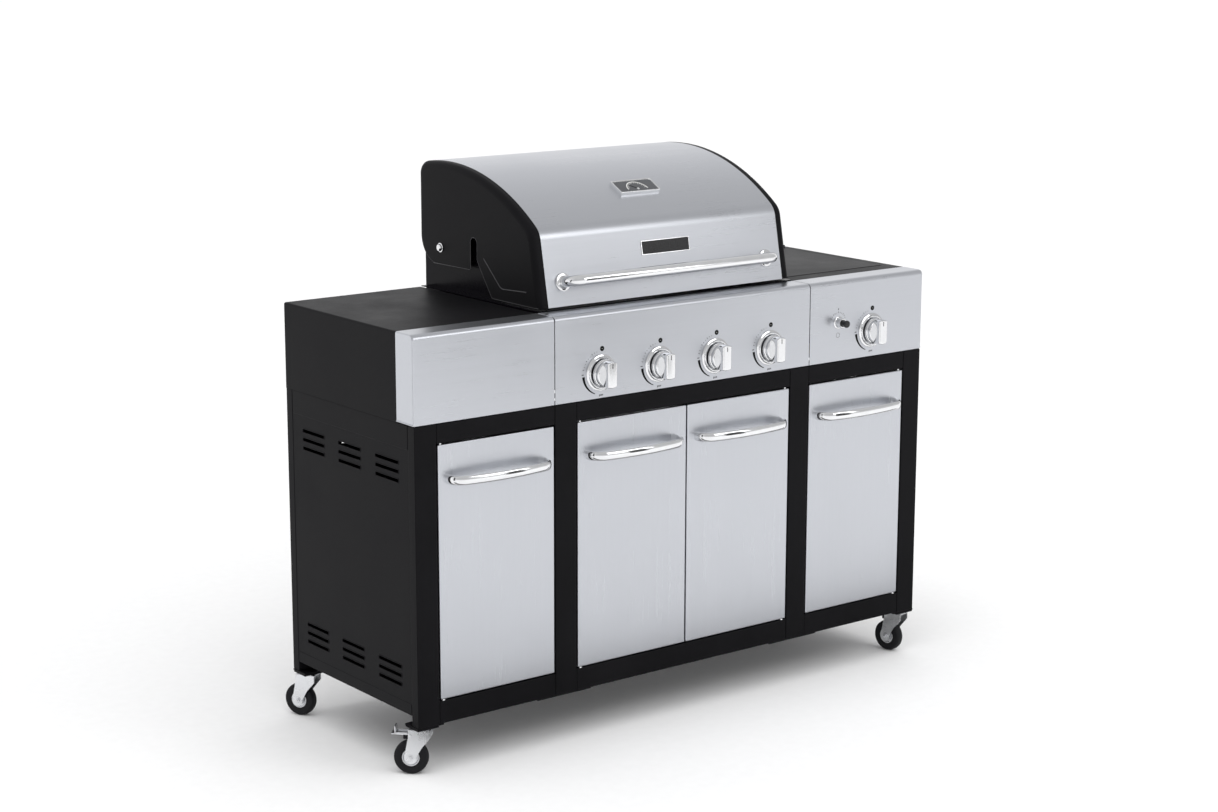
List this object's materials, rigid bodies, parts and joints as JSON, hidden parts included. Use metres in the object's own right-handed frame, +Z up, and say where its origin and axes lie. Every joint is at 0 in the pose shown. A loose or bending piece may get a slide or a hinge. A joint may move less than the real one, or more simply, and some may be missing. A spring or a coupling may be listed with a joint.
{
  "type": "gas barbecue grill",
  "caption": "Freestanding gas grill: hinged steel hood over a firebox, side burner under a flush lid, knobs on a steel panel, steel cabinet doors and swivel casters.",
  "frame": {"origin": "on the floor, at the centre of the grill's outline", "axes": "+X to the right as the user faces the doors, +Y towards the back, +Z up"},
  "size_m": [1.4672, 0.5904, 1.233],
  "materials": {
    "black_powder": "satin black powder coat",
    "stainless": "brushed stainless steel",
    "chrome": "polished chrome plate",
    "zinc": "bright zinc plate",
    "inner_steel": "plain mill finish",
    "enamel": "glossy porcelain enamel",
    "cast_iron": "matt seasoned iron",
    "brass": "machined",
    "black_plastic": "smooth",
    "tyre": "smooth black rubber"
  },
  "bodies": {
    "cabinet": {"cabinet_posts": "black_powder", "cabinet_rails": "black_powder", "side_panel_left": "black_powder", "side_panel_right": "black_powder", "inner_panels": "black_powder", "bottom_panels": "black_powder", "underside_plates": "black_powder", "shelf_left": "black_powder", "shelf_right": "black_powder", "fascia_left": "stainless", "fascia_center": "stainless", "fascia_right": "stainless", "firebox": "enamel", "main_burners": "inner_steel", "heat_tents": "inner_steel", "cooking_grates": "cast_iron", "warming_rack": "inner_steel", "gas_manifold": "brass", "side_burner_pan": "enamel", "side_burner_head": "brass", "side_burner_grate": "cast_iron", "control_bezels": "chrome", "hood_bolts": "chrome", "door_pins": "chrome"},
    "hood": {"hood_skin": "stainless", "hood_cap_left": "black_powder", "hood_cap_right": "black_powder", "hood_handle": "chrome", "thermometer": "chrome"},
    "side_lid": {"side_burner_lid": "black_powder"},
    "tray": {"grease_tray": "inner_steel"},
    "igniter": {"igniter_button": "black_plastic"},
    "door_1": {"door_1": "stainless", "door_handle_1": "chrome"},
    "door_2": {"door_2": "stainless", "door_handle_2": "chrome"},
    "door_3": {"door_3": "stainless", "door_handle_3": "chrome"},
    "door_4": {"door_4": "stainless", "door_handle_4": "chrome"},
    "stem_1": {"valve_stem_1": "inner_steel"},
    "knob_1": {"knob_1": "chrome"},
    "stem_2": {"valve_stem_2": "inner_steel"},
    "knob_2": {"knob_2": "chrome"},
    "stem_3": {"valve_stem_3": "inner_steel"},
    "knob_3": {"knob_3": "chrome"},
    "stem_4": {"valve_stem_4": "inner_steel"},
    "knob_4": {"knob_4": "chrome"},
    "stem_5": {"valve_stem_5": "inner_steel"},
    "knob_5": {"knob_5": "chrome"},
    "caster_1": {"caster_fork_1": "zinc"},
    "wheel_1": {"caster_wheel_1": "tyre"},
    "caster_2": {"caster_fork_2": "zinc"},
    "wheel_2": {"caster_wheel_2": "tyre"},
    "caster_3": {"caster_fork_3": "zinc"},
    "wheel_3": {"caster_wheel_3": "tyre"},
    "caster_4": {"caster_fork_4": "zinc"},
    "wheel_4": {"caster_wheel_4": "tyre"},
    "brake_1": {"brake_lever_1": "zinc"},
    "brake_2": {"brake_lever_2": "zinc"}
  },
  "joints": [
    {"name": "hood_hinge", "type": "hinge", "parent": "cabinet", "child": "hood", "pos_m": [0.01356, 0.19232, 1.041], "axis": [-1, 0, 0], "range_deg": [0, 80]},
    {"name": "side_lid_hinge", "type": "hinge", "parent": "cabinet", "child": "side_lid", "pos_m": [0.55106, 0.21932, 0.948], "axis": [-1, 0, 0], "range_deg": [0, 95]},
    {"name": "grease_tray_slide", "type": "slide", "parent": "cabinet", "child": "tray", "axis": [0, 1, 0], "range_m": [0, 0.33]},
    {"name": "door_1_hinge", "type": "hinge", "parent": "cabinet", "child": "door_1", "pos_m": [-0.63844, -0.24168, 0.435], "axis": [0, 0, -1], "range_deg": [0, 90]},
    {"name": "door_2_hinge", "type": "hinge", "parent": "cabinet", "child": "door_2", "pos_m": [-0.27944, -0.24168, 0.435], "axis": [0, 0, -1], "range_deg": [0, 90]},
    {"name": "door_3_hinge", "type": "hinge", "parent": "cabinet", "child": "door_3", "pos_m": [0.30656, -0.24168, 0.435], "axis": [0, 0, 1], "range_deg": [0, 90]},
    {"name": "door_4_hinge", "type": "hinge", "parent": "cabinet", "child": "door_4", "pos_m": [0.66556, -0.24168, 0.435], "axis": [0, 0, 1], "range_deg": [0, 90]},
    {"name": "knob_1_push", "type": "slide", "parent": "cabinet", "child": "stem_1", "axis": [0, 1, 0], "range_m": [0, 0.004], "stiffness_N_per_m": 1500, "springref_m": -0.002},
    {"name": "knob_1_turn", "type": "hinge", "parent": "stem_1", "child": "knob_1", "pos_m": [-0.22644, -0.26768, 0.812], "axis": [0, -1, 0], "range_deg": [0, 180]},
    {"name": "knob_2_push", "type": "slide", "parent": "cabinet", "child": "stem_2", "axis": [0, 1, 0], "range_m": [0, 0.004], "stiffness_N_per_m": 1500, "springref_m": -0.002},
    {"name": "knob_2_turn", "type": "hinge", "parent": "stem_2", "child": "knob_2", "pos_m": [-0.06644, -0.26768, 0.812], "axis": [0, -1, 0], "range_deg": [0, 180]},
    {"name": "knob_3_push", "type": "slide", "parent": "cabinet", "child": "stem_3", "axis": [0, 1, 0], "range_m": [0, 0.004], "stiffness_N_per_m": 1500, "springref_m": -0.002},
    {"name": "knob_3_turn", "type": "hinge", "parent": "stem_3", "child": "knob_3", "pos_m": [0.09356, -0.26768, 0.812], "axis": [0, -1, 0], "range_deg": [0, 180]},
    {"name": "knob_4_push", "type": "slide", "parent": "cabinet", "child": "stem_4", "axis": [0, 1, 0], "range_m": [0, 0.004], "stiffness_N_per_m": 1500, "springref_m": -0.002},
    {"name": "knob_4_turn", "type": "hinge", "parent": "stem_4", "child": "knob_4", "pos_m": [0.25356, -0.26768, 0.812], "axis": [0, -1, 0], "range_deg": [0, 180]},
    {"name": "knob_5_push", "type": "slide", "parent": "cabinet", "child": "stem_5", "axis": [0, 1, 0], "range_m": [0, 0.004], "stiffness_N_per_m": 1500, "springref_m": -0.002},
    {"name": "knob_5_turn", "type": "hinge", "parent": "stem_5", "child": "knob_5", "pos_m": [0.56856, -0.26768, 0.818], "axis": [0, -1, 0], "range_deg": [0, 180]},
    {"name": "igniter_press", "type": "slide", "parent": "cabinet", "child": "igniter", "axis": [0, 1, 0], "range_m": [0, 0.006], "stiffness_N_per_m": 600, "springref_m": -0.003},
    {"name": "caster_1_swivel", "type": "hinge", "parent": "cabinet", "child": "caster_1", "pos_m": [-0.67844, -0.22168, 0.095], "axis": [0, 0, 1], "continuous": true},
    {"name": "wheel_1_spin", "type": "hinge", "parent": "caster_1", "child": "wheel_1", "pos_m": [-0.69571, -0.20501, 0.037], "axis": [-0.6947, -0.7193, 0], "continuous": true},
    {"name": "brake_1_tilt", "type": "hinge", "parent": "caster_1", "child": "brake_1", "pos_m": [-0.69571, -0.20501, 0.089], "axis": [-0.6947, -0.7193, 0], "range_deg": [0, 15]},
    {"name": "caster_2_swivel", "type": "hinge", "parent": "cabinet", "child": "caster_2", "pos_m": [0.70556, -0.22168, 0.095], "axis": [0, 0, 1], "continuous": true},
    {"name": "wheel_2_spin", "type": "hinge", "parent": "caster_2", "child": "wheel_2", "pos_m": [0.7018, -0.19797, 0.037], "axis": [-0.9877, -0.1564, 0], "continuous": true},
    {"name": "brake_2_tilt", "type": "hinge", "parent": "caster_2", "child": "brake_2", "pos_m": [0.7018, -0.19797, 0.089], "axis": [-0.9877, -0.1564, 0], "range_deg": [0, 15]},
    {"name": "caster_3_swivel", "type": "hinge", "parent": "cabinet", "child": "caster_3", "pos_m": [-0.67844, 0.23832, 0.095], "axis": [0, 0, 1], "continuous": true},
    {"name": "wheel_3_spin", "type": "hinge", "parent": "caster_3", "child": "wheel_3", "pos_m": [-0.68971, 0.25951, 0.037], "axis": [-0.8829, -0.4695, 0], "continuous": true},
    {"name": "caster_4_swivel", "type": "hinge", "parent": "cabinet", "child": "caster_4", "pos_m": [0.70556, 0.23832, 0.095], "axis": [0, 0, 1], "continuous": true},
    {"name": "wheel_4_spin", "type": "hinge", "parent": "caster_4", "child": "wheel_4", "pos_m": [0.69356, 0.25911, 0.037], "axis": [-0.866, -0.5, 0], "continuous": true}
  ]
}
